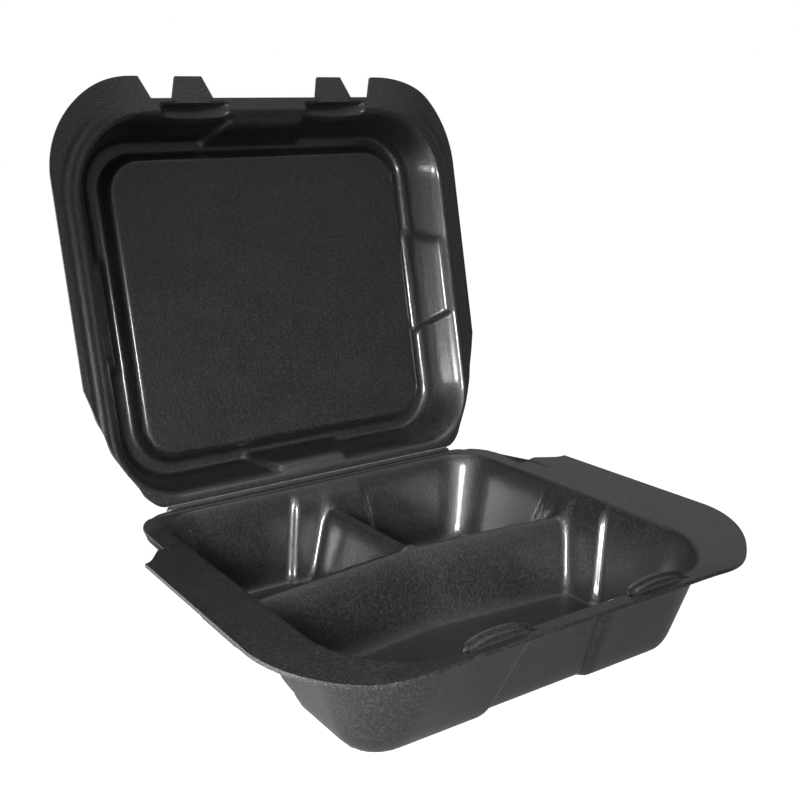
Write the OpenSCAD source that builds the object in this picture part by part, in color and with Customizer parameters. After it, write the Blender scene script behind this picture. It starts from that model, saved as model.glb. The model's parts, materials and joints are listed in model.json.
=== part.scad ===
// Hinged three-compartment take-out container, pressed from one sheet of black foam.
// Millimetres. The origin is the middle of the front compartment's base, X runs along the hinge,
// the front edge is towards -Y, and the lid stands open behind the hinge.

/* [Sheet] */
// Thickness of the foam sheet
sheet_t = 2.6; // [1.8:0.1:3.4]
// Clear gap between the two rims when the lid is shut
rim_gap = 0.4; // [0.2:0.1:1]

/* [Tray] */
// Height of the tray's rim above the table
tray_h = 44; // [38:1:54]
// Distance from the hinge to the front edge of the tray
tray_d = 181; // [174:1:200]
// Width of the tray over its side wings
wing_w = 220; // [210:1:240]
// Distance from the hinge to where the wings begin
wing_start = 38; // [32:1:46]
// How far the wings' outer edges stand above the rest of the rim
wing_rise = 5; // [0:0.5:8]
// Width of the tray's rim behind the wings
neck_w = 192; // [188:1:200]
// Width of the opening at the rim
mouth_w = 172; // [164:1:180]
// Width of the flat base
base_w = 150; // [140:1:156]
// Distance from the hinge to the back of the opening
mouth_back = 7; // [6:1:12]
// Distance from the front edge to the front of the opening
mouth_front = 10; // [9:1:12]
// Distance from the hinge to the back of the base
base_back = 15; // [12:1:24]
// Distance from the hinge to the front of the base
base_front = 153; // [144:1:158]
// Corner radius of the rim's outline at the front
rim_corner_r = 46; // [34:1:50]
// Corner radius of the rim's outline beside the hinge
neck_corner_r = 18; // [10:1:22]
// Corner radius of the base
base_corner_r = 14; // [8:1:18]
// How far the wall above the dividers is set out, as a stacking shoulder
shoulder = 0.4; // [0.2:0.1:0.8]
// Radius between the walls and the floors
floor_r = 5; // [3:1:8]

/* [Dividers] */
// Height of the dividers' tops above the table
divider_h = 33; // [27:1:37]
// Width of the dividers' flat tops
divider_top_w = 7; // [6:1:10]
// Distance from the hinge to the middle of the cross divider at its ends
divider_y = 81; // [74:1:86]
// How far the middle of the cross divider is set back towards the hinge
divider_bow = 8; // [0:1:10]
// How far each divider face leans out between its top and the floor
divider_lean = 11; // [7:1:13]

/* [Pressed panels] */
// Width of the pressed panels beside the rim
panel_rim_w = 38; // [28:1:44]
// Width of the pressed panels at the base or crest
panel_base_w = 54; // [48:1:62]
// Depth of the pressed panels
panel_press = 2.5; // [1:0.5:3]
// Width of the slanted step round a pressed panel
panel_step = 2.5; // [1.5:0.5:4]
// Distance from the hinge to the middle of the tray's side panels
side_panel_y = 86; // [84:1:92]

/* [Latch] */
// Distance between the middles of the two latches
latch_pitch = 74; // [60:1:80]
// Length of each raised lip behind its slot
lip_l = 30; // [24:1:34]
// Height of the lips above the rim
lip_h = 4; // [2:0.5:5]
// Thickness of the lips
lip_t = 2; // [1.5:0.5:2.5]
// Width of the slots in front of the lips
slot_w = 2.4; // [2.2:0.1:2.6]
// Clear space between a lip and the lid's pocket
lip_clear = 0.8; // [0.6:0.1:1.2]
// Width of a tab at its root
tab_root_w = 20; // [16:1:24]
// Width of a tab at its tip
tab_tip_w = 13; // [10:1:15]
// How far a tab reaches past the lid's narrow front edge
tab_l = 10; // [7:1:12]

/* [Lid] */
// Depth of the lid from its rim to its crest
lid_h = 27; // [24:1:32]
// How much narrower the lid is than the tray on each side
lid_side_in = 3; // [2:0.5:6]
// How much narrower each side of the lid is beside the hinge than over its wings
lid_neck_in = 9; // [6:1:12]
// Distance from the hinge to where the lid's wings begin
lid_wing_start = 58; // [48:1:66]
// Distance from the hinge to the narrowest part of the lid's sides
lid_neck_end = 26; // [20:1:32]
// How far the lid's narrow front edge stays behind the tray's front edge
lid_short = 1; // [0.5:0.5:2]
// Width of the lid's rim along its sides
lid_rim_w = 12; // [11:1:15]
// How far the lid's side walls lean in between rim and crest
lid_side_lean = 9; // [6:1:12]
// Distance from the hinge to the back of the lid's inside at its rim
lid_mouth_back = 6; // [5:1:10]
// Distance from the narrow front edge to the front of the lid's inside at its rim
lid_mouth_front = 8; // [7:1:9]
// How far the back and front walls lean in between rim and crest
lid_lean = 6; // [4:1:10]
// Corner radius of the lid's outline at the front
lid_corner_r = 44; // [34:1:48]
// Corner radius of the lid's walls beside the hinge
lid_neck_r = 28; // [16:1:32]
// Corner radius of the lid's crest
crest_corner_r = 22; // [14:1:26]
// Half the width of the gap in the front flange at the latches
notch_half = 59; // [56:1:64]
// Width of the raised channel round the centre panel
channel_w = 4; // [3:1:8]
// How far the centre panel is sunk below the crest
panel_sink = 8; // [5:1:10]
// How far the centre panel's sides lean
panel_side_lean = 3; // [1:0.5:4]
// Angle between the open lid and the shut lid
open_angle = 102; // [90:1:110]

/* [Hinge] */
// Length of the pressed hinge line
hinge_l = 158; // [140:1:160]
// Radius of the bead along the hinge line
hinge_r = 1.2; // [0.8:0.1:1.4]
// Clear gap between the bead and the lid's edge
hinge_gap = 0.4; // [0.3:0.1:0.6]

/* [Hidden] */
foam_colour = [0.13, 0.13, 0.14];

hinge_y = (divider_y + base_front) / 2;
hinge_z = tray_h + rim_gap / 2;
mouth_front_y = tray_d - mouth_front;
lid_back = hinge_r + hinge_gap;
rim_flare = 2;
crest_r = 4;
lip_back = mouth_front_y + rim_flare;
lid_w = wing_w - 2 * lid_side_in;
lid_neck_w = lid_w - 2 * lid_neck_in;
lid_d = tray_d - lid_short;
lid_mouth_w = lid_w - 2 * lid_rim_w;
lid_crest_w = lid_mouth_w - 2 * lid_side_lean;
notch_slant = 2;
lid_flange_r = min(lid_corner_r, lid_w / 2 - notch_half - notch_slant);
fold_x = mouth_w / 2 + rim_flare;
fold_slope = wing_rise / (wing_w / 2 - fold_x);
fold_start = wing_start + 2;
panel_edge = 0.4;
tab_x = latch_pitch / 2;
arc_steps = 8;
small_steps = 3;
through = 1;

function mix(a, b, u) = a + (b - a) * u;
function unit(v) = v / norm(v);

// Points of the arc that rounds the corner at p between its two neighbours
function corner_arc(before, p, after, r, n) =
    let (to_before = unit(before - p),
         to_after = unit(after - p),
         half = acos(max(-1, min(1, to_before * to_after))) / 2,
         sweep = 180 - 2 * half)
    r <= 0 ? [p] : sweep < 0.5 ? [for (k = [0 : n]) p]
        : let (run = r / tan(half),
               centre = p + unit(to_before + to_after) * r / sin(half),
               first = p + to_before * run - centre,
               last = p + to_after * run - centre)
          [for (k = [0 : n])
              centre + (first * sin(sweep * (1 - k / n)) + last * sin(sweep * k / n)) / sin(sweep)];

// A closed outline from corners [x, y, radius, steps], each rounded by an arc
function rounded(corners) =
    let (count = len(corners),
         at = [for (c = corners) [c[0], c[1]]])
    [for (i = [0 : count - 1])
        each corner_arc(at[(i + count - 1) % count], at[i], at[(i + 1) % count],
                        corners[i][2], corners[i][3])];

// The right half of an outline, followed by its mirror image, anticlockwise from the front
function both_sides(right) =
    concat(right, [for (i = [len(right) - 1 : -1 : 0]) [-right[i][0], right[i][1], right[i][2], right[i][3]]]);

function ring_at(outline, z) = [for (p = outline) [p[0], p[1], z]];

// Solid through rings of equal length, lowest first
module loft(rings) {
    n = len(rings[0]);
    top = (len(rings) - 1) * n;
    sides = [for (k = [0 : len(rings) - 2], i = [0 : n - 1])
        let (a = k * n + i, b = k * n + (i + 1) % n)
        each [[a, a + n, b + n], [a, b + n, b]]];
    caps = [[for (i = [0 : n - 1]) i], [for (i = [n - 1 : -1 : 0]) top + i]];
    polyhedron(points = [for (r = rings) each r], faces = concat(sides, caps), convexity = 8);
}

// Share of the height between the floor and the rim
function rise(z) = (z - sheet_t) / (tray_h - sheet_t);

// Half width, front and back of the tray's wall at a height, grown outwards
function wall_x(z, grow) = mix(base_w, mouth_w, rise(z)) / 2 + grow;
function wall_front(z, grow) = -mix(base_front, mouth_front_y, rise(z)) - grow;
function wall_back(z, grow) = -mix(base_back, mouth_back, rise(z)) + grow;
function front_r(z, grow) = max(1, mix(base_corner_r, rim_corner_r - mouth_front, rise(z)) + grow);
function back_r(z, grow) = max(1, mix(base_corner_r, neck_corner_r, rise(z)) + grow);
function panel_half(z) = mix(panel_base_w, panel_rim_w, rise(z)) / 2;

// Share of the height between the floor and the divider tops, and the dividers' faces there
function divider_rise(z) = min(1, (z - sheet_t) / (divider_h - sheet_t));
function divider_half(z, grow) = divider_top_w / 2 + divider_lean * (1 - divider_rise(z)) - grow;
function divider_mid(x, z) = -divider_y + divider_bow * (1 - abs(x) / wall_x(z, 0));
function divider_corner_r(grow) = max(0.5, 7 + grow);

// Whole wall above the dividers: right half from the front panel to the back panel
function upper_wall(z, grow) =
    let (x = wall_x(z, grow), f = wall_front(z, grow), b = wall_back(z, grow),
         p = panel_half(z), s = panel_step, d = panel_press)
    both_sides([
        [p - s, f + d, 0, 1], [p, f, 0, 1],
        [x, f, front_r(z, grow), arc_steps],
        [x, -side_panel_y - p, 0, 1], [x - d, -side_panel_y - p + s, 0, 1],
        [x - d, -side_panel_y + p - s, 0, 1], [x, -side_panel_y + p, 0, 1],
        [x, b, back_r(z, grow), arc_steps],
        [p, b, 0, 1], [p - s, b - d, 0, 1]]);

// Front compartment: right half from the front panel round to the middle of the cross divider
function front_pocket(z, grow) =
    let (x = wall_x(z, grow), f = wall_front(z, grow),
         p = panel_half(z), s = panel_step, d = panel_press, h = divider_half(z, grow))
    both_sides([
        [p - s, f + d, 0, 1], [p, f, 0, 1],
        [x, f, front_r(z, grow), arc_steps],
        [x, -side_panel_y - p, 0, 1], [x - d, -side_panel_y - p + s, 0, 1],
        [x - d, divider_mid(x - d, z) - h, divider_corner_r(grow), small_steps],
        [0.5, divider_mid(0, z) - h, 0, 1]]);

// Right rear compartment, anticlockwise from the corner where the two dividers meet
function rear_pocket(z, grow) =
    let (x = wall_x(z, grow), b = wall_back(z, grow), h = divider_half(z, grow),
         p = panel_half(z), s = panel_step, d = panel_press, r = divider_corner_r(grow))
    rounded([
        [h, divider_mid(h, z) + h, r, small_steps],
        [x, divider_mid(x, z) + h, r, small_steps],
        [x, b, back_r(z, grow), arc_steps],
        [p, b, 0, 1], [p - s, b - d, 0, 1],
        [h, b - d, r, small_steps]]);

function outline_of(kind, z, grow) =
    kind == "upper" ? rounded(upper_wall(z, grow)) :
    kind == "front" ? rounded(front_pocket(z, grow)) : rear_pocket(z, grow);

// Rings of a compartment from its rounded floor edge at z0 up to z1
function pocket_rings(kind, z0, z1, r, grow) = concat(
    [for (a = [0, 30, 60])
        let (z = z0 + r * (1 - cos(a)))
        ring_at(outline_of(kind, z0 + r, grow - r * (1 - sin(a))), z)],
    [ring_at(outline_of(kind, z0 + r, grow), z0 + r), ring_at(outline_of(kind, z1, grow), z1)]);

module pocket_inside(kind) {
    loft(pocket_rings(kind, sheet_t, divider_h + through, floor_r, 0));
}

module pocket_outside(kind) {
    loft(pocket_rings(kind, 0, divider_h - sheet_t / 2, floor_r, sheet_t));
}

// Opening above the dividers, flared where the wall turns into the rim
module mouth_inside() {
    loft([
        ring_at(outline_of("upper", divider_h, shoulder), divider_h),
        ring_at(outline_of("upper", tray_h - rim_flare, shoulder), tray_h - rim_flare),
        ring_at(outline_of("upper", tray_h, rim_flare), tray_h),
        ring_at(outline_of("upper", tray_h, rim_flare), tray_h + through)]);
}

module mouth_outside() {
    loft([
        ring_at(outline_of("upper", divider_h - sheet_t, sheet_t + shoulder), divider_h - sheet_t),
        ring_at(outline_of("upper", tray_h - sheet_t / 2, sheet_t + shoulder), tray_h - sheet_t / 2)]);
}

// Turns up what lies outside the fold on the right side
module turned_up() {
    multmatrix([[1, 0, 0, 0], [0, 1, 0, 0], [fold_slope, 0, 1, -fold_slope * fold_x], [0, 0, 0, 1]]) children();
}

// Area of the right wing, from its start to beyond the front edge
module wing_area(start) {
    translate([fold_x, -tray_d - 2 * tab_l]) square([wing_w, tray_d + 2 * tab_l - start]);
}

// Sheet with the outline given as a child, its wings turned up from the fold
module winged_sheet(start) {
    linear_extrude(sheet_t) difference() {
        children();
        wing_area(start);
        mirror([1, 0]) wing_area(start);
    }
    for (side = [0, 1]) mirror([side, 0, 0]) turned_up() linear_extrude(sheet_t) intersection() {
        children();
        wing_area(start);
    }
}

// Rim of the tray: narrow beside the hinge, wide wings at the sides, rounded front corners
module tray_rim() {
    translate([0, 0, tray_h - sheet_t]) winged_sheet(fold_start) polygon(rounded(both_sides([
        [wing_w / 2, -tray_d, rim_corner_r, arc_steps * 2],
        [wing_w / 2, -wing_start - 6, 5, small_steps],
        [neck_w / 2, -wing_start, 5, small_steps],
        [neck_w / 2, -hinge_r / 2, neck_corner_r, arc_steps]])));
}

// Raised lip behind a slot, highest in the middle
module latch_lip() {
    lip_r = (lip_l * lip_l / 4 + lip_h * lip_h) / (2 * lip_h);
    translate([0, -lip_back, tray_h]) rotate([90, 0, 0]) linear_extrude(lip_t) intersection() {
        translate([0, lip_h - lip_r]) circle(lip_r, $fn = 96);
        translate([-lip_l / 2, -sheet_t / 2]) square([lip_l, lip_h + sheet_t]);
    }
}

module latch_slot() {
    translate([-lip_l / 2, -lip_back - lip_t - slot_w, tray_h - sheet_t - through])
        cube([lip_l, slot_w, sheet_t + 2 * through]);
}

module base_tray() {
    color(foam_colour) translate([0, hinge_y, 0]) {
        difference() {
            union() {
                tray_rim();
                mouth_outside();
                pocket_outside("front");
                pocket_outside("rear");
                mirror([1, 0, 0]) pocket_outside("rear");
            }
            mouth_inside();
            pocket_inside("front");
            pocket_inside("rear");
            mirror([1, 0, 0]) pocket_inside("rear");
            for (side = [-1, 1]) translate([side * tab_x, 0, 0]) latch_slot();
        }
        for (side = [-1, 1]) translate([side * tab_x, 0, 0]) latch_lip();
        translate([-hinge_l / 2, 0, hinge_z]) rotate([0, 90, 0]) cylinder(r = hinge_r, h = hinge_l, $fn = 32);
    }
}

// Share of the lid's depth, and its inner wall there; the lid is drawn shut, rim at zero
function lid_rise(w) = w / (lid_h - sheet_t);

// Rounded rectangle from back b to front f, with a panel of half width p pressed d deep into each side
function framed(x, f, b, front_radius, back_radius, p, d) =
    let (s = panel_step, m = (f + b) / 2)
    rounded(both_sides([
        [p - s, f + d, 0, 1], [p, f, 0, 1],
        [x, f, front_radius, arc_steps],
        [x, m - p, 0, 1], [x - d, m - p + s, 0, 1],
        [x - d, m + p - s, 0, 1], [x, m + p, 0, 1],
        [x, b, back_radius, arc_steps],
        [p, b, 0, 1], [p - s, b - d, 0, 1]]));

function lid_front(u) = -(lid_d - lid_mouth_front - lid_lean * u);
function lid_rear(u) = -(lid_mouth_back + lid_lean * u);

function lid_wall(w, grow) =
    let (u = lid_rise(w))
    framed(mix(lid_mouth_w, lid_crest_w, u) / 2 + grow, lid_front(u) - grow, lid_rear(u) + grow,
           mix(lid_corner_r - lid_mouth_front, crest_corner_r, u) + grow,
           mix(lid_neck_r, crest_corner_r, u) + grow,
           mix(panel_rim_w, panel_base_w, u) / 2, panel_press);

// Centre panel of the lid, set in from the crest by the channel
function centre_panel(set_in) =
    let (inset = panel_press + channel_w + set_in, r = crest_corner_r - channel_w)
    framed(lid_crest_w / 2 - inset, lid_front(1) + inset, lid_rear(1) - inset, r, r, panel_base_w / 2, panel_edge);

// Outer skin: up the walls, over the rounded crest and down into the sunk centre panel
module lid_outside() {
    shoulder_w = lid_h - crest_r;
    loft([
        ring_at(lid_wall(0, sheet_t), sheet_t / 2),
        ring_at(lid_wall(shoulder_w, sheet_t), shoulder_w),
        ring_at(lid_wall(shoulder_w, sheet_t - crest_r * 0.3), lid_h - crest_r * 0.3),
        ring_at(lid_wall(shoulder_w, sheet_t - crest_r), lid_h),
        ring_at(centre_panel(sheet_t), lid_h),
        ring_at(centre_panel(sheet_t + panel_side_lean), lid_h - panel_sink)]);
}

// Inner skin, one sheet's thickness inside the outer one
module lid_inside() {
    crest_w = lid_h - sheet_t;
    loft([
        ring_at(lid_wall(0, rim_flare), -through),
        ring_at(lid_wall(rim_flare, 0), rim_flare),
        ring_at(lid_wall(crest_w, 0), crest_w),
        ring_at(centre_panel(0), crest_w),
        ring_at(centre_panel(panel_side_lean), crest_w - panel_sink)]);
}

// Rim of the lid: wings at the sides, front flange cut back round the two tabs
module lid_rim() {
    winged_sheet(0) polygon(rounded(both_sides([
        [tab_x - tab_root_w / 2, -lid_d, 1.5, small_steps],
        [tab_x - tab_tip_w / 2, -lid_d - tab_l, 2.5, small_steps],
        [tab_x + tab_tip_w / 2, -lid_d - tab_l, 2.5, small_steps],
        [tab_x + tab_root_w / 2, -lid_d, 1.5, small_steps],
        [notch_half - notch_slant, -lid_d, 1, small_steps],
        [notch_half + notch_slant, -lid_d - tab_l, 2, small_steps],
        [lid_w / 2, -lid_d - tab_l, lid_flange_r, arc_steps * 2],
        [lid_w / 2, -lid_wing_start, 14, small_steps],
        [lid_neck_w / 2, -lid_neck_end, 20, small_steps],
        [hinge_l / 2 + 4, -lid_back, 8, small_steps]])));
}

// Space the tray's turned-up wing takes under the shut lid, on the right side
module wing_room() {
    turned_up() translate([0, 0, -lid_h]) linear_extrude(lid_h) wing_area(0);
}

// Pocket in the lid's front wall that takes a lip of the tray, and the boss outside it
pocket_l = lip_l + 2 * lip_clear;
pocket_h = lip_h + lip_clear;
pocket_front = lip_back + lip_t + lip_clear;
boss_seat = 3;

module lip_pocket() {
    translate([-pocket_l / 2, -pocket_front, -through])
        cube([pocket_l, pocket_front - lip_back + 3 * lip_clear, pocket_h + through]);
}

module lip_boss() {
    boss_l = pocket_l + 2 * sheet_t;
    boss_front = pocket_front + sheet_t;
    translate([-boss_l / 2, -boss_front, sheet_t / 2])
        cube([boss_l, boss_front - lip_back + boss_seat, pocket_h + sheet_t / 2]);
}

module shut_lid() {
    difference() {
        union() {
            lid_rim();
            lid_outside();
            for (side = [-1, 1]) translate([side * tab_x, 0, 0]) lip_boss();
        }
        lid_inside();
        for (side = [-1, 1]) translate([side * tab_x, 0, 0]) lip_pocket();
        wing_room();
        mirror([1, 0, 0]) wing_room();
    }
}

module lid() {
    color(foam_colour) translate([0, hinge_y, hinge_z]) rotate([-open_angle, 0, 0])
        translate([0, 0, rim_gap / 2]) shut_lid();
}

base_tray();
lid();
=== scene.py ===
import json
import math

import bpy
import numpy as np
from bpy.props import FloatProperty, FloatVectorProperty, IntProperty, PointerProperty
from mathutils import Matrix, Vector


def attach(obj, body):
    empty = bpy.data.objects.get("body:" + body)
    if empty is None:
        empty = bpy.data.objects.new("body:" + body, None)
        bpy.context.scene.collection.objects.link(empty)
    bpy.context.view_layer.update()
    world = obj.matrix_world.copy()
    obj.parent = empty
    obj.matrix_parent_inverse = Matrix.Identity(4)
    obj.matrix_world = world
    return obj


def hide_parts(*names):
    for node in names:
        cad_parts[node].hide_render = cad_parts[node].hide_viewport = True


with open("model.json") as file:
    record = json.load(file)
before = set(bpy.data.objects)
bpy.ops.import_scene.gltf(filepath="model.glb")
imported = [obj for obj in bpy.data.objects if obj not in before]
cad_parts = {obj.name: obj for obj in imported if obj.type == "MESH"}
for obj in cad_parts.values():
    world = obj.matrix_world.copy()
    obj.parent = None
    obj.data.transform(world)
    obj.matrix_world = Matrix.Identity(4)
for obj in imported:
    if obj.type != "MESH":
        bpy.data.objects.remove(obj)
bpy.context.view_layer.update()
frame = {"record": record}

bl_info = {
    "name": "Hinged foam container",
    "version": (1, 0, 0),
    "blender": (4, 5, 0),
    "location": "View3D > Sidebar > Container",
    "description": "Dresses a hinged three-compartment foam container with pressed shells and a foam finish",
    "category": "Object",
}

HINGE = Vector(frame["record"]["behaviour"]["joints"][0]["pos_m"])
OPEN_ANGLE = -math.radians(frame["record"]["behaviour"]["joints"][0]["range_deg"][0])
MM = 0.001

# Fillets between the faces of the pressed sheet
FLOOR_FILLET = 9.0 * MM
DIVIDER_FILLET = 13.0 * MM
DIVIDER_TOP_FILLET = 9.0 * MM
DIVIDER_MEETING_FILLET = 5.0 * MM
RIM_FILLET = 8.0 * MM
WING_FILLET = 4.0 * MM
FRONT_FILLET = 4.0 * MM
CREST_FILLET = 6.0 * MM
PANEL_FOOT_FILLET = 2.5 * MM
PANEL_EDGE_FILLET = 3.0 * MM
HEEL_FILLET = 8.0 * MM
SIDE_FILLET = 6.0 * MM

# Half the slant at the ends of the lid's corner flanges
NOTCH_SLANT = 2.0 * MM

# Groove in the tray's rim along the hinge: depth, distance from the hinge, width, and run-out at its ends
GROOVE_DEPTH = 0.7 * MM
GROOVE_PLACE = 3.0 * MM
GROOVE_WIDTH = 0.9 * MM
GROOVE_FADE = 14.0 * MM

# Where the latch lips' faces start and end, from the back and the front of each lip
LIP_BACK_FOOT = 0.2 * MM
LIP_BACK_TOP = 1.2 * MM
LIP_FRONT_FOOT = 0.1 * MM
LIP_FRONT_TOP = 0.3 * MM

# Two fine ridges on the lid's rim: height, width and distances from the wall
RIDGE_HEIGHT = 0.5 * MM
RIDGE_WIDTH = 1.3 * MM
INNER_RIDGE = 3.4 * MM
OUTER_RIDGE = 7.2 * MM

# Where the ridges start and are full, from the hinge and from the lid's narrow front edge
RIDGE_BACK = (2.0 * MM, 12.0 * MM)
RIDGE_FRONT = (6.0 * MM, 16.0 * MM)

# Where the lid's pockets start and are full, from the narrow front edge and from the hinge
POCKET_FRONT = (2.4 * MM, 3.4 * MM)
POCKET_BACK = (169.5 * MM, 171.5 * MM)

# Floor of the stage in metres, and the stretch along X in which its lit left side fades out
FLOOR_HALF = 6.0
FLOOR_DROP = 0.0004
LIT_SIDE = (-0.20, -0.02)

# Shade of the table that the foam and the camera see
TABLE_SHADE = (0.08, 0.35)

KEY_BEAM = math.radians(50.0)


def length(label, millimetres, words):
    """A length property given in millimetres and stored in metres."""
    return FloatProperty(name=label, description=words, default=millimetres * MM, unit="LENGTH", precision=4)


class SheetSizes(bpy.types.PropertyGroup):
    """Sizes that the tray and the lid share."""
    thickness: length("Sheet", 2.6, "Thickness of the foam sheet")
    edge: length("Pressed edge", 1.5, "Thickness of the sheet at its pressed edges")
    edge_run: length("Edge run", 6, "Width over which the sheet thins towards its edges")
    spacing: length("Mesh spacing", 1.15, "Distance between mesh points on the flat")
    panel_rim: length("Panel at rim", 38, "Width of the pressed wall panels beside the rim")
    panel_far: length("Panel at base", 54, "Width of the pressed wall panels at the base or crest")
    panel_press: length("Panel press", 2.5, "Depth of the pressed wall panels")
    panel_step: length("Panel step", 3.0, "Width of the slanted step round a wall panel")
    latch: length("Latch", 37, "Distance from the middle to each latch")
    fold: length("Wing fold", 88, "Distance from the middle to the fold that the wings turn up from")
    wing_rise: length("Wing rise", 5, "How far the tray's wing edges stand above the rim")
    wing_half: length("Wing edge", 110, "Half the width that the wing rise is measured at")
    left_share: FloatProperty(name="Left wing", description="Share of the wing rise that the left wing has",
                              default=0.3)
    front_fold: length("Front fold", 168, "Distance from the hinge at which the front rims turn up")
    front_slope: FloatProperty(name="Front slope", description="Slope of the front rims", default=0.2)


class TraySizes(bpy.types.PropertyGroup):
    """Sizes of the tray, measured forwards from the hinge and up from the table."""
    rim: length("Rim", 44, "Height of the rim")
    front: length("Front edge", 181, "Distance from the hinge to the front edge")
    half: length("Half width", 110, "Half the width over the wings")
    neck: length("Neck", 96, "Half the width behind the wings")
    wing_start: length("Wing start", 38, "Distance from the hinge to the wings")
    wing_run: length("Wing run", 14, "Length over which a wing comes out")
    corner: length("Front corner", 46, "Radius of the front corners of the rim")
    neck_corner: length("Rear corner", 18, "Radius of the rear corners of the rim")
    mouth_half: length("Mouth half width", 86, "Half the width of the opening at the rim")
    mouth_front: length("Mouth front", 171, "Distance from the hinge to the front of the opening")
    mouth_back: length("Mouth back", 7, "Distance from the hinge to the back of the opening")
    base_half: length("Base half width", 75, "Half the width of the base")
    base_front: length("Base front", 153, "Distance from the hinge to the front of the base")
    base_back: length("Base back", 15, "Distance from the hinge to the back of the base")
    base_corner: length("Base corner", 14, "Corner radius of the base")
    side_panel: length("Side panels", 86, "Distance from the hinge to the middle of the side panels")
    divider: length("Divider height", 33, "Height of the dividers")
    divider_top: length("Divider top", 7, "Width of the dividers' tops")
    divider_place: length("Divider place", 81, "Distance from the hinge to the cross divider's ends")
    divider_bow: length("Divider bow", 8, "How far the cross divider is set back in its middle")
    divider_lean: length("Divider lean", 11, "How far each divider face leans out")
    lip: length("Lip height", 4, "Height of the latch lips")
    lip_half: length("Lip half length", 15, "Half the length of a latch lip")
    lip_back: length("Lip place", 173, "Distance from the hinge to the back of the lips")
    lip_wall: length("Lip wall", 2, "Thickness of the lips")
    slot: length("Slot", 2.4, "Width of the slots in front of the lips")


class LidSizes(bpy.types.PropertyGroup):
    """Sizes of the lid, measured from the hinge along the lid and out from its rim."""
    depth: length("Depth", 27, "Depth from rim to crest")
    front: length("Front edge", 180, "Distance from the hinge to the narrow front edge")
    tab: length("Tab reach", 10, "How far the tabs and corners reach past the narrow edge")
    half: length("Half width", 107, "Half the width over the wings")
    neck: length("Neck", 98, "Half the width behind the wings")
    wing_start: length("Wing start", 58, "Distance from the hinge to the wings")
    neck_end: length("Neck end", 26, "Distance from the hinge to the narrowest part of the sides")
    heel: length("Heel", 83, "Half the width of the lid's straight rear edge")
    corner: length("Front corner", 44, "Radius of the front corners of the rim")
    neck_corner: length("Rear corner", 28, "Radius of the walls' rear corners at the rim")
    back: length("Back edge", 1.6, "Distance from the hinge to the lid's edge")
    mouth_half: length("Mouth half width", 95, "Half the width of the inside at the rim")
    crest_half: length("Crest half width", 86, "Half the width of the inside at the crest")
    mouth_front: length("Mouth front", 172, "Distance from the hinge to the front of the inside at the rim")
    mouth_back: length("Mouth back", 6, "Distance from the hinge to the back of the inside at the rim")
    lean: length("Lean", 6, "How far the front and back walls lean in")
    crest_corner: length("Crest corner", 22, "Corner radius of the crest")
    channel: length("Channel", 4, "Width of the channel round the centre panel")
    sink: length("Panel sink", 8, "How far the centre panel is sunk below the crest")
    panel_lean: length("Panel lean", 3, "How far the centre panel's sides lean")
    tab_root: length("Tab root", 20, "Width of a tab at its root")
    tab_tip: length("Tab tip", 13, "Width of a tab at its tip")
    notch: length("Notch", 59, "Distance from the middle to the ends of the corner flanges")
    rim_gap: length("Rim gap", 0.2, "Distance from the hinge line to the lid's rim")
    pocket: length("Pocket depth", 4.8, "Depth of the pockets that take the tray's lips")
    pocket_half: length("Pocket half length", 16.5, "Half the length of the pockets")
    hinge_radius: length("Hinge bead", 1.56, "Radius of the pressed bead along the hinge")
    hinge_half: length("Hinge half length", 79, "Half the length of the hinge line")


class FoamLook(bpy.types.PropertyGroup):
    """Finish of the foam."""
    colour: FloatVectorProperty(name="Colour", description="Colour of the foam skin", subtype="COLOR",
                                default=(0.004, 0.004, 0.0042))
    pale: FloatVectorProperty(name="Pale cells", description="Colour of the palest cells", subtype="COLOR",
                              default=(0.026, 0.026, 0.0265))
    roughness: FloatProperty(name="Roughness", description="Roughness of the foam skin", default=0.42)
    index: FloatProperty(name="Index", description="Refractive index of the polystyrene", default=1.59)
    gloss: FloatProperty(name="Gloss", description="Share of the skin that has a tight gloss", default=0.9)
    gloss_roughness: FloatProperty(name="Gloss roughness", description="Roughness of the tight gloss",
                                   default=0.18)
    grain: FloatProperty(name="Grain", description="Cells in each metre of the surface", default=850.0)
    relief: FloatProperty(name="Relief", description="Strength of the cell relief", default=0.8)


class StageLook(bpy.types.PropertyGroup):
    """Camera and lights."""
    eye: FloatVectorProperty(name="Eye", description="Place of the camera, measured from the hinge along Y",
                             subtype="TRANSLATION", default=(-0.2437, -0.4096, 0.2073))
    yaw: FloatProperty(name="Yaw", description="Turn of the camera from +Y towards +X", subtype="ANGLE",
                       default=math.radians(31.635))
    pitch: FloatProperty(name="Pitch", description="How far the camera looks down", subtype="ANGLE",
                         default=math.radians(16.31))
    roll: FloatProperty(name="Roll", description="Tilt of the camera about its view", subtype="ANGLE",
                        default=math.radians(-1.126))
    focal: FloatProperty(name="Focal length", description="Focal length in image pixels", default=1046.2)
    centre: FloatVectorProperty(name="View centre", description="Pixel that the camera's axis meets", size=2,
                                default=(332.9, 430.4))
    image: IntProperty(name="Image size", description="Width and height of the image in pixels", default=800)
    key: FloatProperty(name="Key light", description="Power of the small light beside the camera",
                       default=0.46, unit="POWER")
    side: FloatProperty(name="Side light", description="Power of the low strip light at the left",
                        default=14.0, unit="POWER")
    top: FloatProperty(name="Top light", description="Power of the light overhead",
                       default=1.0, unit="POWER")
    white: FloatProperty(name="White", description="Glow of the table that the camera sees", default=0.90)
    table: FloatProperty(name="Table", description="Glow of the table that the foam sees", default=0.11)
    table_left: FloatProperty(name="Table at the left", description="Glow of the table's lit left side",
                              default=0.6)
    ambient: FloatProperty(name="Ambient", description="Strength of the room light at the horizon",
                           default=0.07)
    overhead: FloatProperty(name="Overhead", description="Strength of the room light overhead",
                            default=0.5)


def mix(a, b, share):
    """Straight mix of a and b."""
    return a + (b - a) * share


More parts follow.
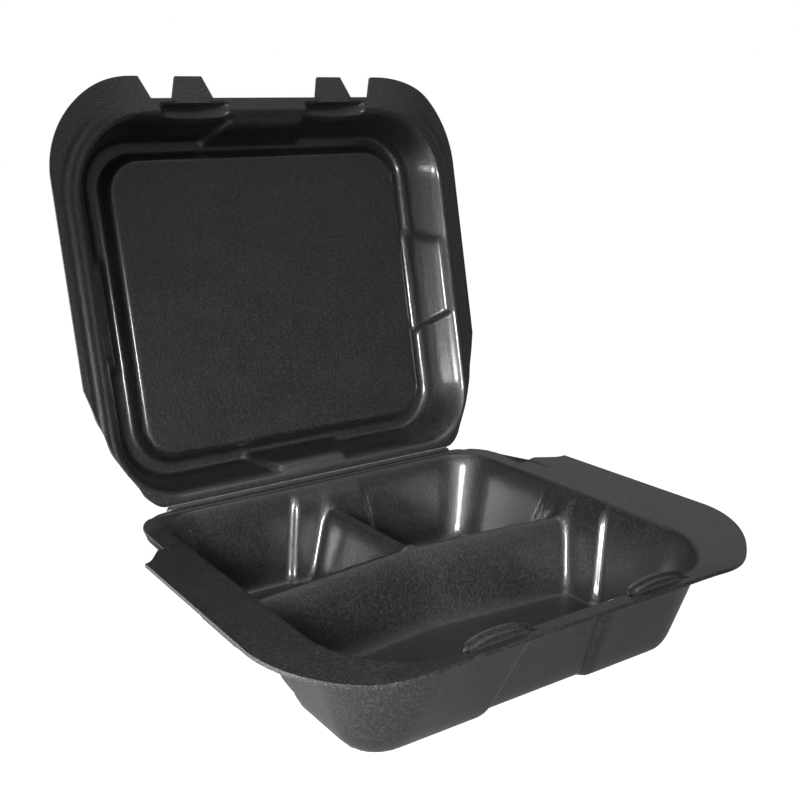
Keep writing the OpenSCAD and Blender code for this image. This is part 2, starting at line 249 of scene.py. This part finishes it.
def ease(low, high, value):
    """Smooth step from 0 at low to 1 at high."""
    t = np.clip((value - low) / (high - low), 0.0, 1.0)
    return t * t * (3.0 - 2.0 * t)


def soft_max(a, b, k):
    """Larger of a and b, with a fillet of height k where they cross."""
    h = np.maximum(k - np.abs(a - b), 0.0) / k
    return np.maximum(a, b) + h * h * k / 4.0


def soft_min(a, b, k):
    """Smaller of a and b, with a fillet of height k where they cross."""
    return -soft_max(-a, -b, k)


def bump(value, middle, width):
    """Bell curve of height 1 about middle."""
    return np.exp(-((value - middle) / width) ** 2)


def rounded_box(x, v, half, back, front, radius):
    """Distance outside a rounded rectangle that is 2 half wide and runs from back to front."""
    qx = np.abs(x) - half + radius
    qv = np.abs(v - (front + back) / 2.0) - (front - back) / 2.0 + radius
    corner = np.hypot(np.maximum(qx, 0.0), np.maximum(qv, 0.0))
    return np.minimum(np.maximum(qx, qv), 0.0) + corner - radius


def level_where_zero(distance, x, v, low, high, rising):
    """Height at which distance(x, v, height) changes sign, by halving the range for all points at once."""
    lower = np.full_like(x, low)
    upper = np.full_like(x, high)
    for _ in range(22):
        middle = (lower + upper) / 2.0
        outside = distance(x, v, middle) > 0.0
        raise_it = outside if rising else ~outside
        lower = np.where(raise_it, middle, lower)
        upper = np.where(raise_it, upper, middle)
    return (lower + upper) / 2.0


def panel_mask(offset, half, step):
    """1 inside a pressed panel, falling to 0 over its slanted step."""
    return 1.0 - ease(half - step, half, np.abs(offset))


def wing_lift(sheet, x):
    """Height of the wings above the rim: an even slope outside the fold, less on the sagged left side."""
    slope = sheet.wing_rise / (sheet.wing_half - sheet.fold)
    share = np.where(x < 0.0, sheet.left_share, 1.0)
    return share * slope * soft_max(np.abs(x) - sheet.fold, np.zeros_like(x), WING_FILLET)


def tray_wall_distance(sheet, tray, x, v, z):
    """Distance outside the tray's inner wall at height z.

    The wall is a rounded rectangle that widens evenly from base to mouth, less the pressed panels.
    """
    rise = (z - sheet.thickness) / (tray.rim - sheet.thickness)
    half_panel = mix(sheet.panel_far, sheet.panel_rim, rise) / 2.0
    press = sheet.panel_press * ease(1.0, 0.8, rise)
    side = press * panel_mask(v - tray.side_panel, half_panel, sheet.panel_step)
    ends = press * panel_mask(x, half_panel, sheet.panel_step)
    half = mix(tray.base_half, tray.mouth_half, rise) - side
    front = mix(tray.base_front, tray.mouth_front, rise) - ends
    back = mix(tray.base_back, tray.mouth_back, rise) + ends
    front_radius = mix(tray.base_corner, tray.corner - (tray.front - tray.mouth_front), rise)
    back_radius = mix(tray.base_corner, tray.neck_corner, rise)
    radius = np.where(v > (front + back) / 2.0, front_radius, back_radius)
    return rounded_box(x, v, half, back, front, np.maximum(radius, MM))


def divider_height(sheet, tray, x, v):
    """Height of the two dividers: straight faces that meet in a rounded top.

    The cross divider follows a shallow V set back in its middle, with its point rounded off, and the rear
    one runs from it to the back wall.
    """
    point = 4.0 * MM
    slope = (tray.divider - sheet.thickness) / tray.divider_lean
    across = np.sqrt(x * x + point ** 2)
    middle = tray.divider_place - tray.divider_bow * (1.0 - across / tray.base_half)
    half_top = tray.divider_top / 2.0
    cross_faces = tray.divider + slope * (half_top - np.abs(v - middle))
    rear_faces = tray.divider + slope * (half_top - np.abs(x))
    cross = soft_min(tray.divider, cross_faces, DIVIDER_TOP_FILLET)
    rear = soft_min(tray.divider, rear_faces, DIVIDER_TOP_FILLET)
    behind = tray.divider + slope * (middle - v)
    return soft_max(cross, np.minimum(rear, behind), DIVIDER_MEETING_FILLET)


def front_lift(sheet, x, v):
    """Rise of both front rims: a slope in v that starts with a curve and fades out at the corners."""
    full_half = 58.0 * MM
    flat_half = 94.0 * MM
    past = np.maximum(v - sheet.front_fold, 0.0)
    curved = past * past / (2.0 * FRONT_FILLET)
    rise = np.where(past < FRONT_FILLET, curved, past - FRONT_FILLET / 2.0)
    return sheet.front_slope * rise * ease(flat_half, full_half, np.abs(x))


def tray_height(sheet, tray, x, v):
    """Height of the tray's upper face.

    The largest of floor, wall and dividers with fillets between them, cut off by the rim with a rounded
    fold. Lips stand on the rim behind the slots, and a groove runs along the hinge.
    """
    def distance(x, v, z):
        return tray_wall_distance(sheet, tray, x, v, z)

    beyond = 20.0 * MM
    wall = level_where_zero(distance, x, v, sheet.thickness - beyond, tray.rim + beyond, True)
    inside = soft_max(wall, divider_height(sheet, tray, x, v), DIVIDER_FILLET)
    inside = soft_max(inside, np.full_like(x, sheet.thickness), FLOOR_FILLET)
    face = soft_min(inside, tray.rim, RIM_FILLET)
    groove_end = ease(tray.neck, tray.neck - GROOVE_FADE, np.abs(x))
    groove = GROOVE_DEPTH * bump(v, GROOVE_PLACE, GROOVE_WIDTH) * groove_end
    along = (np.abs(x) - sheet.latch) / tray.lip_half
    arch = tray.lip * np.sqrt(np.maximum(1.0 - along * along, 0.0))
    lip_front = tray.lip_back + tray.lip_wall
    behind = ease(tray.lip_back + LIP_BACK_FOOT, tray.lip_back + LIP_BACK_TOP, v)
    profile = behind * ease(lip_front + LIP_FRONT_FOOT, lip_front - LIP_FRONT_TOP, v)
    wing_step = 3.0 * MM
    lift = wing_lift(sheet, x) * ease(tray.wing_start, tray.wing_start + wing_step, v)
    return face - groove + arch * profile + lift + front_lift(sheet, x, v)


def tray_back_edge(tray, x):
    """Distance from the hinge to the rim's rear edge at x: straight, a rounded corner, then the wing."""
    hinge_room = 0.6 * MM
    across = np.abs(x)
    start = tray.neck - tray.neck_corner
    dx = np.clip(across - start, 0.0, tray.neck_corner)
    edge = hinge_room + tray.neck_corner - np.sqrt(tray.neck_corner ** 2 - dx * dx)
    wing = tray.wing_start + tray.wing_run * ease(tray.neck, tray.half, across)
    return np.where(across > tray.neck, wing, edge)


def front_arc(across, half, radius, front):
    """Distance from the hinge to a front edge that is straight between two rounded corners."""
    dx = np.clip(across - (half - radius), 0.0, radius)
    return front - radius + np.sqrt(radius ** 2 - dx * dx)


def even(low, high, spacing):
    """Evenly spaced values from low to just short of high."""
    count = max(2, int(math.ceil((high - low) / spacing)))
    return np.linspace(low, high, count, endpoint=False)


def spread(stops, spacing):
    """Values that hit every stop and are about evenly spaced between them."""
    parts = [even(a, b, spacing) for a, b in zip(stops[:-1], stops[1:])]
    return np.concatenate(parts + [np.array(stops[-1:])])


def columns(stops, half, radius, spacing):
    """Places across the sheet, mirrored about the middle and crowded towards the round corner's side."""
    count = int(math.ceil(radius / spacing)) + 8
    corner = half - radius + radius * np.sin(np.linspace(0.0, math.pi / 2.0, count))
    inner = spread([0.0] + stops + [half - radius], spacing)
    right = np.unique(np.round(np.concatenate([inner, corner]), 7))
    return np.concatenate([-right[:0:-1], right])


def grid_normals(points, towards):
    """Unit normals of a grid of points, turned to the side of the given direction."""
    normal = np.cross(np.gradient(points, axis=1), np.gradient(points, axis=0))
    size = np.linalg.norm(normal, axis=2, keepdims=True)
    normal = normal / np.maximum(size, 1e-15)
    side = np.sign(np.sum(normal * np.array(towards), axis=2, keepdims=True))
    return normal * np.where(side == 0.0, 1.0, side)


def edge_thickness(sheet, to_edge):
    """Thickness of the sheet at a distance from its outline: pressed thin along the edges."""
    return mix(sheet.edge, sheet.thickness, ease(0.0, sheet.edge_run, to_edge))[..., None]


def shell_object(name, points, normals, thickness, keep):
    """Closed shell from a grid of points: a face, a back face the sheet's thickness behind it, and edges."""
    rows, cols = points.shape[:2]
    count = rows * cols
    index = np.arange(count).reshape(rows, cols)
    quads = np.stack([index[:-1, :-1], index[:-1, 1:], index[1:, 1:], index[1:, :-1]], axis=-1)[keep]
    a, b, c, _ = (points.reshape(-1, 3)[quads[:, i]] for i in range(4))
    facing = np.sum(np.cross(b - a, c - a) * normals.reshape(-1, 3)[quads[:, 0]], axis=1).sum()
    if facing < 0.0:
        quads = quads[:, ::-1]
    starts = quads.ravel()
    ends = np.roll(quads, -1, axis=1).ravel()
    border = ~np.isin(starts * count + ends, ends * count + starts)
    rims = np.stack([ends[border], starts[border], starts[border] + count, ends[border] + count], axis=1)
    faces = np.concatenate([quads, quads[:, ::-1] + count, rims])
    places = np.concatenate([points.reshape(-1, 3), (points - normals * thickness).reshape(-1, 3)])
    used, compact = np.unique(faces.ravel(), return_inverse=True)
    mesh = bpy.data.meshes.new(name)
    mesh.from_pydata(places[used].tolist(), [], compact.reshape(-1, 4).tolist())
    mesh.polygons.foreach_set("use_smooth", np.ones(len(mesh.polygons), dtype=bool))
    mesh.set_sharp_from_angle(angle=math.radians(50.0))
    mesh.update()
    piece = bpy.data.objects.new(name, mesh)
    bpy.context.scene.collection.objects.link(piece)
    return piece


def tray_points(sheet, tray):
    """Grid of the tray's upper face from the hinge edge to the front edge, less the cells of its slots.

    The rows are finer along the hinge groove and at the latch.
    """
    groove_start = 1.8 * MM
    groove_end = 4.4 * MM
    groove_spacing = 0.4 * MM
    latch_spacing = 0.5 * MM
    latch_room = 1.5 * MM
    lip_ends = [sheet.latch - tray.lip_half, sheet.latch + tray.lip_half]
    x = columns(lip_ends, tray.half, tray.corner, sheet.spacing)
    lip_front = tray.lip_back + tray.lip_wall
    slot_front = lip_front + tray.slot
    latch_start = tray.lip_back - latch_room
    lip_foot = lip_front + LIP_FRONT_FOOT
    fine = spread([0.0, groove_start, groove_end], groove_spacing)
    body = spread([groove_end, latch_start], sheet.spacing)
    latch = spread([latch_start, lip_foot, slot_front, tray.front], latch_spacing)
    share = np.unique(np.round(np.concatenate([fine, body, latch]), 7)) / tray.front
    back = tray_back_edge(tray, x)
    front = front_arc(np.abs(x), tray.half, tray.corner, tray.front)
    grid_x = np.broadcast_to(x, (len(share), len(x))).copy()
    grid_v = back + (front - back) * share[:, None]
    z = tray_height(sheet, tray, grid_x, grid_v)
    points = np.stack([grid_x, HINGE.y - grid_v, z], axis=-1)
    mid_x = np.abs((x[:-1] + x[1:]) / 2.0)
    mid_v = (grid_v[:-1, :-1] + grid_v[1:, 1:]) / 2.0
    beside = (np.abs(mid_x - sheet.latch) < tray.lip_half)[None, :]
    in_slot = beside & (mid_v > lip_front) & (mid_v < slot_front)
    to_edge = np.minimum(np.minimum(grid_v - back, front - grid_v), tray.half - np.abs(grid_x))
    return points, edge_thickness(sheet, to_edge), ~in_slot


def lid_wall_distance(sheet, lid, x, v, w):
    """Distance outside the lid's inner wall at depth w.

    The wall is a rounded rectangle that narrows evenly from rim to crest, less the pressed panels.
    """
    rise = w / (lid.depth - sheet.thickness)
    half_panel = mix(sheet.panel_rim, sheet.panel_far, rise) / 2.0
    front = lid.mouth_front - lid.lean * rise
    back = lid.mouth_back + lid.lean * rise
    middle = (lid.mouth_front + lid.mouth_back) / 2.0
    press = sheet.panel_press * ease(0.0, 0.2, rise)
    side = press * panel_mask(v - middle, half_panel, sheet.panel_step)
    ends = press * panel_mask(x, half_panel, sheet.panel_step)
    half = mix(lid.mouth_half, lid.crest_half, rise) - side
    front_radius = mix(lid.corner - (lid.front - lid.mouth_front), lid.crest_corner, rise)
    back_radius = mix(lid.neck_corner, lid.crest_corner, rise)
    radius = np.where(v > middle, front_radius, back_radius)
    return rounded_box(x, v, half, back + ends, front - ends, np.maximum(radius, MM))


def lid_depth(sheet, lid, x, v):
    """Depth of the lid's inner face below its rim.

    The wall is cut off by the crest, the crest is pushed back in by the centre panel, and the rim has two
    fine ridges beside the wall. A pocket behind each tab takes a lip of the tray.
    """
    def distance(x, v, w):
        return lid_wall_distance(sheet, lid, x, v, w)

    crest = lid.depth - sheet.thickness
    wall = level_where_zero(distance, x, v, -20.0 * MM, crest + 30.0 * MM, False)
    face = soft_min(wall, np.full_like(x, crest), CREST_FILLET)
    inset = sheet.panel_press + lid.channel
    panel = rounded_box(x, v, lid.crest_half - inset, lid.mouth_back + lid.lean + inset,
                        lid.mouth_front - lid.lean - inset, lid.crest_corner - lid.channel)
    level = crest - lid.sink
    ramp = level + lid.sink * (panel + lid.panel_lean) / lid.panel_lean
    panel_face = soft_max(np.full_like(x, level), ramp, PANEL_FOOT_FILLET)
    face = soft_min(face, panel_face, PANEL_EDGE_FILLET)
    face = soft_max(face, wing_lift(sheet, x), RIM_FILLET)
    outside = distance(x, v, np.zeros_like(x))
    ridge = RIDGE_HEIGHT * (bump(outside, INNER_RIDGE, RIDGE_WIDTH) + bump(outside, OUTER_RIDGE, RIDGE_WIDTH))
    ridge = ridge * ease(RIDGE_BACK[0], RIDGE_BACK[1], v)
    ridge = ridge * ease(lid.front - RIDGE_FRONT[0], lid.front - RIDGE_FRONT[1], v)
    along = (np.abs(x) - sheet.latch) / lid.pocket_half
    pocket = lid.pocket * np.sqrt(np.maximum(1.0 - along * along, 0.0))
    pocket = pocket * ease(lid.front - POCKET_FRONT[0], lid.front - POCKET_FRONT[1], v)
    pocket = pocket * ease(POCKET_BACK[0], POCKET_BACK[1], v)
    return np.maximum(face + ridge, pocket) + front_lift(sheet, x, v)


def lid_front_edges(sheet, lid, x):
    """The lid's front edge at x without and with its tabs and corner flanges, which slant at their ends."""
    across = np.abs(x)
    full = front_arc(across, lid.half, lid.corner, lid.front + lid.tab)
    plain = np.minimum(full, lid.front)
    root = lid.tab_root / 2.0
    tip = lid.tab_tip / 2.0
    tabs = np.clip((root - np.abs(across - sheet.latch)) / (root - tip), 0.0, 1.0)
    corners = np.clip((across - lid.notch + NOTCH_SLANT) / (2.0 * NOTCH_SLANT), 0.0, 1.0)
    reach = np.maximum(tabs, corners)
    return plain, plain + (full - plain) * reach


def lid_back_edge(lid, x):
    """Distance from the hinge to the lid's rear edge at x: straight, then two slants out to the wing."""
    across = np.abs(x)
    heel = lid.back + (across - lid.heel) * (lid.neck_end - lid.back) / (lid.neck - lid.heel)
    side = lid.neck_end + (across - lid.neck) * (lid.wing_start - lid.neck_end) / (lid.half - lid.neck)
    edge = soft_max(np.full_like(x, lid.back), heel, HEEL_FILLET)
    return soft_max(edge, side, SIDE_FILLET)


def lid_points(sheet, lid):
    """Grid of the lid's inner face in the shut lid's own plane, turned about the hinge to the open angle."""
    flange_width = 6.0 * MM
    flange_rows = 10
    tab_fold = 3.0 * MM
    root = lid.tab_root / 2.0
    tip = lid.tab_tip / 2.0
    stops = [sheet.latch - root, sheet.latch - tip, sheet.latch + tip, sheet.latch + root,
             lid.notch - NOTCH_SLANT, lid.notch + NOTCH_SLANT]
    x = columns(stops, lid.half, lid.corner, sheet.spacing)
    flange = lid.front - flange_width
    fine = np.linspace(flange, lid.front, flange_rows)
    rows = np.concatenate([even(lid.back, flange, sheet.spacing), fine])
    share = (rows - lid.back) / (lid.front - lid.back)
    back = lid_back_edge(lid, x)
    plain, full = lid_front_edges(sheet, lid, x)
    grid_x = np.broadcast_to(x, (len(share), len(x))).copy()
    grid_v = back + (plain - back) * share[:, None]
    reach = ease(lid.front - tab_fold, lid.front, rows)[:, None]
    grid_v = grid_v + (full - plain) * reach
    w = lid_depth(sheet, lid, grid_x, grid_v) + lid.rim_gap
    along = np.array([0.0, -math.cos(OPEN_ANGLE), math.sin(OPEN_ANGLE)])
    out = np.array([0.0, math.sin(OPEN_ANGLE), math.cos(OPEN_ANGLE)])
    points = grid_v[..., None] * along + w[..., None] * out + np.array(HINGE)
    points[..., 0] += grid_x
    to_edge = np.minimum(np.minimum(grid_v - back, full - grid_v), lid.half - np.abs(grid_x))
    return points, edge_thickness(sheet, to_edge), -out


def bead_object(name, half, radius):
    """Round bead along the hinge line: a circle carried along X, drawn in to a point at both ends."""
    turn = np.linspace(0.0, 2.0 * math.pi, 24, endpoint=False)
    place = np.concatenate([[-half], np.linspace(-half + radius, half - radius, 60), [half]])
    size = radius * np.sqrt(np.clip((half - np.abs(place)) / radius, 0.02, 1.0))
    along = np.broadcast_to(place[:, None], (len(place), len(turn)))
    y = HINGE.y + size[:, None] * np.cos(turn)
    z = HINGE.z + size[:, None] * np.sin(turn)
    points = np.stack([along, y, z], axis=-1)
    rows, cols = points.shape[:2]
    index = np.arange(rows * cols).reshape(rows, cols)
    after = np.roll(index, -1, axis=1)
    quads = np.stack([index[:-1], after[:-1], after[1:], index[1:]], axis=-1).reshape(-1, 4)
    faces = quads.tolist() + [index[0, ::-1].tolist(), index[-1].tolist()]
    mesh = bpy.data.meshes.new(name)
    mesh.from_pydata(points.reshape(-1, 3).tolist(), [], faces)
    mesh.polygons.foreach_set("use_smooth", np.ones(len(mesh.polygons), dtype=bool))
    mesh.update()
    piece = bpy.data.objects.new(name, mesh)
    bpy.context.scene.collection.objects.link(piece)
    return piece


def foam_cells_group():
    """Node group for the foam's skin: fine cells with finer ones on them, and a slow mottle."""
    group = bpy.data.node_groups.new("foam_cells", "ShaderNodeTree")
    group.interface.new_socket("Grain", in_out="INPUT", socket_type="NodeSocketFloat")
    group.interface.new_socket("Cells", in_out="OUTPUT", socket_type="NodeSocketFloat")
    group.interface.new_socket("Mottle", in_out="OUTPUT", socket_type="NodeSocketFloat")
    nodes = group.nodes
    links = group.links
    entry = nodes.new("NodeGroupInput")
    leave = nodes.new("NodeGroupOutput")
    place = nodes.new("ShaderNodeTexCoord")
    cells = nodes.new("ShaderNodeTexNoise")
    cells.inputs["Detail"].default_value = 3.0
    cells.inputs["Roughness"].default_value = 0.7
    mottle = nodes.new("ShaderNodeTexNoise")
    mottle.inputs["Scale"].default_value = 60.0
    mottle.inputs["Detail"].default_value = 4.0
    links.new(place.outputs["Object"], cells.inputs["Vector"])
    links.new(place.outputs["Object"], mottle.inputs["Vector"])
    links.new(entry.outputs["Grain"], cells.inputs["Scale"])
    links.new(cells.outputs["Fac"], leave.inputs["Cells"])
    links.new(mottle.outputs["Fac"], leave.inputs["Mottle"])
    return group


def foam_material(look):
    """Black foam: dark skin with paler cells, a satin gloss broken up by the cells' relief."""
    material = bpy.data.materials.new("black_foam")
    material.use_nodes = True
    nodes = material.node_tree.nodes
    links = material.node_tree.links
    shader = nodes["Principled BSDF"]
    cells = nodes.new("ShaderNodeGroup")
    cells.node_tree = foam_cells_group()
    cells.inputs["Grain"].default_value = look.grain
    speck = nodes.new("ShaderNodeMapRange")
    speck.inputs["From Min"].default_value = 0.45
    speck.inputs["From Max"].default_value = 0.75
    colour = nodes.new("ShaderNodeMix")
    colour.data_type = "RGBA"
    colour.inputs[6].default_value = (*look.colour, 1.0)
    colour.inputs[7].default_value = (*look.pale, 1.0)
    rough = nodes.new("ShaderNodeMapRange")
    rough.inputs["From Min"].default_value = 0.3
    rough.inputs["From Max"].default_value = 0.7
    rough.inputs["To Min"].default_value = look.roughness - 0.05
    rough.inputs["To Max"].default_value = look.roughness + 0.05
    shader.inputs["IOR"].default_value = look.index
    shader.inputs["Coat Weight"].default_value = look.gloss
    shader.inputs["Coat Roughness"].default_value = look.gloss_roughness
    relief = nodes.new("ShaderNodeBump")
    relief.inputs["Strength"].default_value = look.relief
    relief.inputs["Distance"].default_value = 0.0004
    links.new(cells.outputs["Cells"], speck.inputs["Value"])
    links.new(speck.outputs["Result"], colour.inputs[0])
    links.new(colour.outputs[2], shader.inputs["Base Color"])
    links.new(cells.outputs["Mottle"], rough.inputs["Value"])
    links.new(rough.outputs["Result"], shader.inputs["Roughness"])
    links.new(cells.outputs["Cells"], relief.inputs["Height"])
    links.new(relief.outputs["Normal"], shader.inputs["Normal"])
    return material


def shared_foam(scene):
    """The foam material, made on first use."""
    return bpy.data.materials.get("black_foam") or foam_material(scene.container_foam)


class CONTAINER_OT_tray(bpy.types.Operator):
    """Make the tray's pressed shell"""
    bl_idname = "container.tray"
    bl_label = "Tray"

    def execute(self, context):
        scene = context.scene
        points, thickness, keep = tray_points(scene.container_sheet, scene.container_tray)
        normals = grid_normals(points, (0.0, 0.0, 1.0))
        piece = shell_object("tray_shell", points, normals, thickness, keep)
        piece.data.materials.append(shared_foam(scene))
        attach(piece, "tray")
        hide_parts("base_tray")
        return {"FINISHED"}


class CONTAINER_OT_lid(bpy.types.Operator):
    """Make the lid's pressed shell"""
    bl_idname = "container.lid"
    bl_label = "Lid"

    def execute(self, context):
        scene = context.scene
        points, thickness, inwards = lid_points(scene.container_sheet, scene.container_lid)
        normals = grid_normals(points, inwards)
        keep = np.ones((points.shape[0] - 1, points.shape[1] - 1), dtype=bool)
        piece = shell_object("lid_shell", points, normals, thickness, keep)
        piece.data.materials.append(shared_foam(scene))
        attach(piece, "cover")
        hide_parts("lid")
        return {"FINISHED"}


class CONTAINER_OT_hinge(bpy.types.Operator):
    """Make the pressed bead along the hinge line"""
    bl_idname = "container.hinge"
    bl_label = "Hinge bead"

    def execute(self, context):
        scene = context.scene
        piece = bead_object("hinge_bead", scene.container_lid.hinge_half, scene.container_lid.hinge_radius)
        piece.data.materials.append(shared_foam(scene))
        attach(piece, "tray")
        return {"FINISHED"}


def flat_square(name, half, height):
    """Level square about the origin."""
    mesh = bpy.data.meshes.new(name)
    corners = [(-half, -half, height), (half, -half, height), (half, half, height), (-half, half, height)]
    mesh.from_pydata(corners, [], [(0, 1, 2, 3)])
    piece = bpy.data.objects.new(name, mesh)
    bpy.context.scene.collection.objects.link(piece)
    return piece


def backdrop_material(look):
    """White table that glows like a light box, more to the camera than to the foam, with a faint shadow.

    The foam sees more glow at the table's left side.
    """
    material = bpy.data.materials.new("white_backdrop")
    material.use_nodes = True
    nodes = material.node_tree.nodes
    links = material.node_tree.links
    path = nodes.new("ShaderNodeLightPath")
    strength = nodes.new("ShaderNodeMapRange")
    place = nodes.new("ShaderNodeTexCoord")
    split = nodes.new("ShaderNodeSeparateXYZ")
    glow = nodes.new("ShaderNodeMapRange")
    glow.inputs["From Min"].default_value = LIT_SIDE[0]
    glow.inputs["From Max"].default_value = LIT_SIDE[1]
    glow.inputs["To Min"].default_value = look.table_left
    glow.inputs["To Max"].default_value = look.table
    links.new(place.outputs["Object"], split.inputs["Vector"])
    links.new(split.outputs["X"], glow.inputs["Value"])
    links.new(glow.outputs["Result"], strength.inputs["To Min"])
    strength.inputs["To Max"].default_value = look.white
    shader = nodes["Principled BSDF"]
    shader.inputs["Roughness"].default_value = 1.0
    shader.inputs["Specular IOR Level"].default_value = 0.0
    shader.inputs["Emission Color"].default_value = (1.0, 1.0, 1.0, 1.0)
    shade = nodes.new("ShaderNodeMapRange")
    shade.inputs["To Min"].default_value = TABLE_SHADE[0]
    shade.inputs["To Max"].default_value = TABLE_SHADE[1]
    links.new(path.outputs["Is Camera Ray"], strength.inputs["Value"])
    links.new(path.outputs["Is Camera Ray"], shade.inputs["Value"])
    links.new(strength.outputs["Result"], shader.inputs["Emission Strength"])
    links.new(shade.outputs["Result"], shader.inputs["Base Color"])
    return material


def room_light(look):
    """Room light that grows towards the ceiling, seen by the camera as plain white."""
    world = bpy.data.worlds.new("studio")
    bpy.context.scene.world = world
    world.use_nodes = True
    nodes = world.node_tree.nodes
    links = world.node_tree.links
    place = nodes.new("ShaderNodeTexCoord")
    split = nodes.new("ShaderNodeSeparateXYZ")
    height = nodes.new("ShaderNodeMapRange")
    height.inputs["To Min"].default_value = look.ambient
    height.inputs["To Max"].default_value = look.overhead
    path = nodes.new("ShaderNodeLightPath")
    strength = nodes.new("ShaderNodeMix")
    strength.inputs["B"].default_value = 1.0
    links.new(place.outputs["Generated"], split.inputs["Vector"])
    links.new(split.outputs["Z"], height.inputs["Value"])
    links.new(path.outputs["Is Camera Ray"], strength.inputs["Factor"])
    links.new(height.outputs["Result"], strength.inputs["A"])
    links.new(strength.outputs["Result"], nodes["Background"].inputs["Strength"])
    nodes["Background"].inputs["Color"].default_value = (1.0, 1.0, 1.0, 1.0)


def soft_lamp(name, place, target, size, power, spread=math.pi):
    """Lamp of a given width and height that faces its target, both measured from the hinge along Y."""
    along = Vector((0.0, HINGE.y, 0.0))
    lamp = bpy.data.lights.new(name, "AREA")
    lamp.shape = "RECTANGLE"
    lamp.size, lamp.size_y = size
    lamp.energy = power
    lamp.spread = spread
    piece = bpy.data.objects.new(name, lamp)
    piece.location = along + Vector(place)
    piece.rotation_euler = (Vector(target) - Vector(place)).to_track_quat("-Z", "Y").to_euler()
    bpy.context.scene.collection.objects.link(piece)


def photo_camera(look):
    """Camera with the photograph's place, turn, focal length and view centre."""
    ahead = Vector((math.sin(look.yaw) * math.cos(look.pitch), math.cos(look.yaw) * math.cos(look.pitch),
                    -math.sin(look.pitch)))
    level = Vector((math.cos(look.yaw), -math.sin(look.yaw), 0.0))
    upright = level.cross(ahead)
    right = level * math.cos(look.roll) + upright * math.sin(look.roll)
    up = upright * math.cos(look.roll) - level * math.sin(look.roll)
    data = bpy.data.cameras.new("camera")
    data.sensor_fit = "HORIZONTAL"
    data.lens = data.sensor_width * look.focal / look.image
    data.shift_x = 0.5 - look.centre[0] / look.image
    data.shift_y = look.centre[1] / look.image - 0.5
    camera = bpy.data.objects.new("camera", data)
    turn = Matrix((right, up, -ahead)).transposed().to_4x4()
    eye = Vector(look.eye) + Vector((0.0, HINGE.y, 0.0))
    camera.matrix_world = Matrix.Translation(eye) @ turn
    bpy.context.scene.collection.objects.link(camera)
    bpy.context.scene.camera = camera


class CONTAINER_OT_stage(bpy.types.Operator):
    """Set up the floor, the lights and the camera"""
    bl_idname = "container.stage"
    bl_label = "Stage"

    def execute(self, context):
        scene = context.scene
        look = scene.container_stage
        floor = flat_square("floor", FLOOR_HALF, -FLOOR_DROP)
        floor.data.materials.append(backdrop_material(look))
        room_light(look)
        soft_lamp("key", place=(-0.31, -0.44, 0.20), target=(0.03, -0.08, 0.02), size=(0.08, 0.08),
                  power=look.key, spread=KEY_BEAM)
        soft_lamp("side", place=(-0.80, 0.15, 0.022), target=(0.08, 0.05, 0.022), size=(0.90, 0.044),
                  power=look.side)
        soft_lamp("top", place=(0.10, -0.10, 0.90), target=(0.0, -0.05, 0.05), size=(0.50, 0.50),
                  power=look.top)
        photo_camera(look)
        scene.view_settings.view_transform = "Standard"
        return {"FINISHED"}


class CONTAINER_PT_panel(bpy.types.Panel):
    """Lists the container's pieces"""
    bl_idname = "CONTAINER_PT_panel"
    bl_label = "Foam container"
    bl_space_type = "VIEW_3D"
    bl_region_type = "UI"
    bl_category = "Container"

    def draw(self, context):
        for operator in OPERATORS:
            self.layout.operator(operator.bl_idname)


GROUPS = {"container_sheet": SheetSizes, "container_tray": TraySizes, "container_lid": LidSizes,
          "container_foam": FoamLook, "container_stage": StageLook}
OPERATORS = (CONTAINER_OT_tray, CONTAINER_OT_lid, CONTAINER_OT_hinge, CONTAINER_OT_stage)


def register():
    """Register the sizes, the operators and the panel"""
    for name, group in GROUPS.items():
        bpy.utils.register_class(group)
        setattr(bpy.types.Scene, name, PointerProperty(type=group))
    for cls in OPERATORS + (CONTAINER_PT_panel,):
        bpy.utils.register_class(cls)


def unregister():
    """Take the panel, the operators and the sizes out again"""
    for cls in (CONTAINER_PT_panel,) + OPERATORS[::-1]:
        bpy.utils.unregister_class(cls)
    for name, group in GROUPS.items():
        delattr(bpy.types.Scene, name)
        bpy.utils.unregister_class(group)


def main():
    """Make the stage and the pieces"""
    register()
    bpy.ops.container.stage()
    bpy.ops.container.tray()
    bpy.ops.container.lid()
    bpy.ops.container.hinge()


if __name__ == "__main__":
    main()
